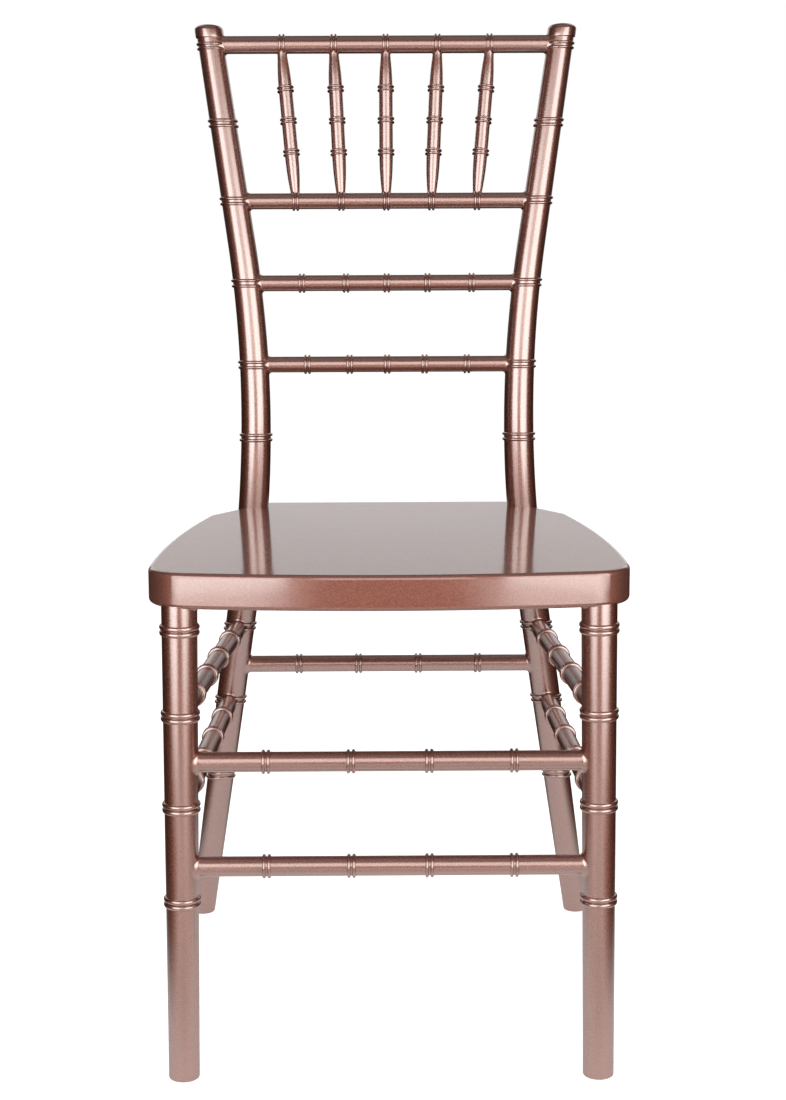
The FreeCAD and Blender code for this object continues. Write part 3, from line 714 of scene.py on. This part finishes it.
def make_front_stretcher(node, height):
    make_even_rod(node, leg_point, leg_host, height, FRONT_R, STRETCHER_BAND, (0.0937, 0.297))


def make_side_stretcher(node, side, height):
    start, end = leg_point(side, height), post_point(side, height)
    length = (end - start).length
    table = [(0, SIDE_R), (length - 36, SIDE_R), (length - 16, SIDE_END_R), (length, SIDE_END_R)]
    hosts = leg_host(side, height), post_host(side, height)
    places = shared(length, (0.1, 0.3))
    fillets = FILLET, POST_FILLET
    turned(node, [banded_rod(start, end, hosts, table, STRETCHER_BAND, places, fillets)])


# radius of a spindle by the distance up from the lower rail's axis, and down from the top rail's
SPINDLE_FOOT = [(0, 4.3), (9.5, 4.5), (12.7, 4.9), (16.8, 5.2), (20.8, 5.65), (31, 6.3),
                (43, 6.65)]
SPINDLE_HEAD = [(0, 4.6), (10.5, 4.75), (14.5, 5.05), (20.6, 5.65), (28.7, 6.2), (36.7, 6.5),
                (44, 6.65)]
SPINDLE_SPACING = 0.1495
SPINDLE_BANDS = [47.6 + 31.3 * i for i in range(3)]


def make_spindle(number):
    place = 0.5 + (number - 3) * SPINDLE_SPACING
    start = post_point(LEFT, SPINDLE_RAIL).lerp(post_point(RIGHT, SPINDLE_RAIL), place)
    end = post_point(LEFT, TOP_RAIL).lerp(post_point(RIGHT, TOP_RAIL), place)
    length = (end - start).length
    table = SPINDLE_FOOT + [(length - d, r) for d, r in reversed(SPINDLE_HEAD)]
    hosts = Host(RIGHTWARD, RAIL_R), Host(RIGHTWARD, TOP_RAIL_R)
    fillets = SPINDLE_FILLET, SPINDLE_FILLET
    turned("spindle_%d" % number,
           [banded_rod(start, end, hosts, table, SPINDLE_BAND, SPINDLE_BANDS, fillets)])


for side, word in ((LEFT, "left"), (RIGHT, "right")):
    make_post(word + "_back_post", side)
    turned(word + "_front_leg", [front_leg(side)])
    make_side_stretcher(word + "_upper_side_stretcher", side, BAND_THREE)
    make_side_stretcher(word + "_lower_side_stretcher", side, BAND_TWO)
make_rail("top_rail", TOP_RAIL, TOP_RAIL_R, (0, 0.149, 0.298))
make_rail("spindle_rail", SPINDLE_RAIL, RAIL_R, (0, 0.149, 0.300))
make_rail("middle_back_rail", MIDDLE_RAIL, RAIL_R, (0, 0.146, 0.304))
make_rail("lower_back_rail", LOW_RAIL, RAIL_R, (0, 0.141, 0.300))
make_rail("rear_stretcher", REAR_STRETCHER, REAR_R, (0.0974, 0.2912), REAR_BAND)
make_front_stretcher("front_upper_stretcher", FRONT_UPPER)
make_front_stretcher("front_lower_stretcher", FRONT_LOWER)
for number in range(1, 6):
    make_spindle(number)
dress(seat_board(), "seat_board", seat_finish)
for screw_slot in frame["nodes"]["seat_screws"].material_slots:
    screw_slot.material = screw_finish


# Floor, world and lamps, in metres

def floor():
    bpy.ops.mesh.primitive_circle_add(vertices=96, radius=14.0, fill_type="NGON",
                                      location=(0, 0, -0.0005))
    plate = bpy.context.object
    plate.name = "floor"
    material = bpy.data.materials.new("floor_pale")
    graph = Graph(material)
    ramp, product = graph.ramp, graph.product
    where = graph.where()
    spot = graph.new("ShaderNodeSeparateXYZ")
    graph.plug(where, spot.inputs["Vector"])
    wide = graph.maths("ABSOLUTE", spot.outputs["X"])
    deep = spot.outputs["Y"]
    camera_rays, shiny = graph.rays()
    # gloss rays see painted light and shade on the floor: pale with a painted glow under the
    # chair, brightened against the seat's shadow, and in front of it on both sides; elsewhere
    # painted shade, a near black floor. Camera rays see it evenly white
    near = product(ramp(wide, 0.60, 0.30), ramp(deep, 0.6, 0.2), ramp(deep, -1.8, -0.9))
    far = product(ramp(wide, 2.2, 1.6), ramp(wide, 0.3, 0.7), ramp(deep, -0.9, -1.4))
    # painted shade: to gloss rays the floor turns near black outside the pale zones
    gloss_painted_shade = product(shiny, graph.maths("SUBTRACT", 1.0, graph.most(product(near, 0.75), far)))
    tint = graph.blend(graph.noise(where, 3.0), (0.79, 0.775, 0.755), (0.82, 0.805, 0.785))
    matt = graph.new("ShaderNodeBsdfDiffuse")
    # the near black colour is the painted shade that gloss rays see
    graph.plug(graph.blend(gloss_painted_shade, tint, (0.02, 0.016, 0.013)), matt.inputs["Color"])
    # painted light: a glow seen only by gloss rays, under the chair and in front of it on both
    # sides
    gloss_painted_glow = graph.most(product(near, ramp(deep, -0.5, -0.2), 0.3), product(far, 0.8))
    glow = graph.new("ShaderNodeEmission")
    seen = graph.most(product(camera_rays, 0.75), product(shiny, gloss_painted_glow))
    graph.plug(seen, glow.inputs["Strength"])
    both = graph.new("ShaderNodeAddShader")
    graph.plug(matt.outputs["BSDF"], both.inputs[0])
    graph.plug(glow.outputs["Emission"], both.inputs[1])
    graph.surface(both.outputs["Shader"], "Material")
    plate.data.materials.append(material)


def world():
    room = bpy.data.worlds.new("studio")
    bpy.context.scene.world = room
    graph = Graph(room)
    ramp, product = graph.ramp, graph.product
    way = graph.new("ShaderNodeSeparateXYZ")
    graph.plug(graph.new("ShaderNodeTexCoord").outputs["Generated"], way.inputs["Vector"])
    wide = graph.maths("ABSOLUTE", way.outputs["X"])
    deep, high = way.outputs["Y"], way.outputs["Z"]
    camera_rays, shiny = graph.rays()
    # gloss sees the white backdrop straight behind, and elsewhere weak light behind and above
    backdrop = product(ramp(wide, 0.30, 0.17), ramp(deep, 0.2, 0.5), ramp(high, 0.55, -0.12))
    plain = graph.maths("SUBTRACT", 0.35, product(shiny, 0.33))
    behind = product(shiny, ramp(deep, 0.65, 0.95), 0.30)
    above = product(shiny, ramp(high, 0.72, 0.95), 0.22)
    back = graph.new("ShaderNodeBackground")
    graph.plug((1, 1, 1), back.inputs["Color"])
    seen = graph.most(camera_rays, product(shiny, backdrop, 1.4), plain, behind, above)
    graph.plug(seen, back.inputs["Strength"])
    graph.surface(back.outputs["Background"], "World")


def lamp(name, spot, target, wide, tall, level, colour):
    # level is the brightness of the lamp's face, where white is 1
    data = bpy.data.lights.new(name, "AREA")
    data.shape = "RECTANGLE"
    data.size = wide
    data.size_y = tall
    data.energy = level * math.pi * wide * tall
    data.color = colour
    obj = bpy.data.objects.new(name, data)
    obj.location = spot
    obj.rotation_euler = (Vector(target) - Vector(spot)).to_track_quat("-Z", "Y").to_euler()
    obj.visible_camera = False
    bpy.context.scene.collection.objects.link(obj)


floor()
world()
lamp("left_soft", (-1.25, -1.90, 1.10), (0, 0, 1.10), 1.75, 2.15, 2.8, (1.0, 0.985, 0.965))
lamp("right_soft", (1.42, -1.78, 1.10), (0, 0, 1.10), 2.05, 2.15, 2.8, (1.0, 0.975, 0.935))
lamp("middle_soft", (0.03, -2.25, 1.48), (0, 0, 1.1), 0.85, 1.70, 1.35, (1.0, 0.98, 0.95))
lamp("left_back_soft", (-1.10, 2.05, 1.75), (-0.3, 0, 0.8), 1.10, 1.60, 1.0, (1.0, 0.98, 0.95))
lamp("right_back_soft", (1.10, 2.05, 1.75), (0.3, 0, 0.8), 1.10, 1.60, 1.0, (1.0, 0.98, 0.95))

# Camera, at the photograph's place and angle

eye = Vector((-0.0065, -2.0012, 0.783))
pitch, yaw, roll = math.radians(10.04), math.radians(0.309), math.radians(-0.228)
forward = Vector((math.sin(yaw) * math.cos(pitch), math.cos(yaw) * math.cos(pitch),
                  -math.sin(pitch)))
right = Vector((math.cos(yaw), -math.sin(yaw), 0))
over = right.cross(forward)
turned_right = right * math.cos(roll) + over * math.sin(roll)
turned_over = turned_right.cross(forward)
camera_data = bpy.data.cameras.new("camera")
camera_data.lens = 71.47
camera_data.sensor_width = 36.0
camera_data.clip_end = 60
camera = bpy.data.objects.new("camera", camera_data)
camera.matrix_world = Matrix((
    (turned_right.x, turned_over.x, -forward.x, eye.x),
    (turned_right.y, turned_over.y, -forward.y, eye.y),
    (turned_right.z, turned_over.z, -forward.z, eye.z),
    (0, 0, 0, 1)))
bpy.context.scene.collection.objects.link(camera)
bpy.context.scene.camera = camera
bpy.context.scene.view_settings.view_transform = "Standard"
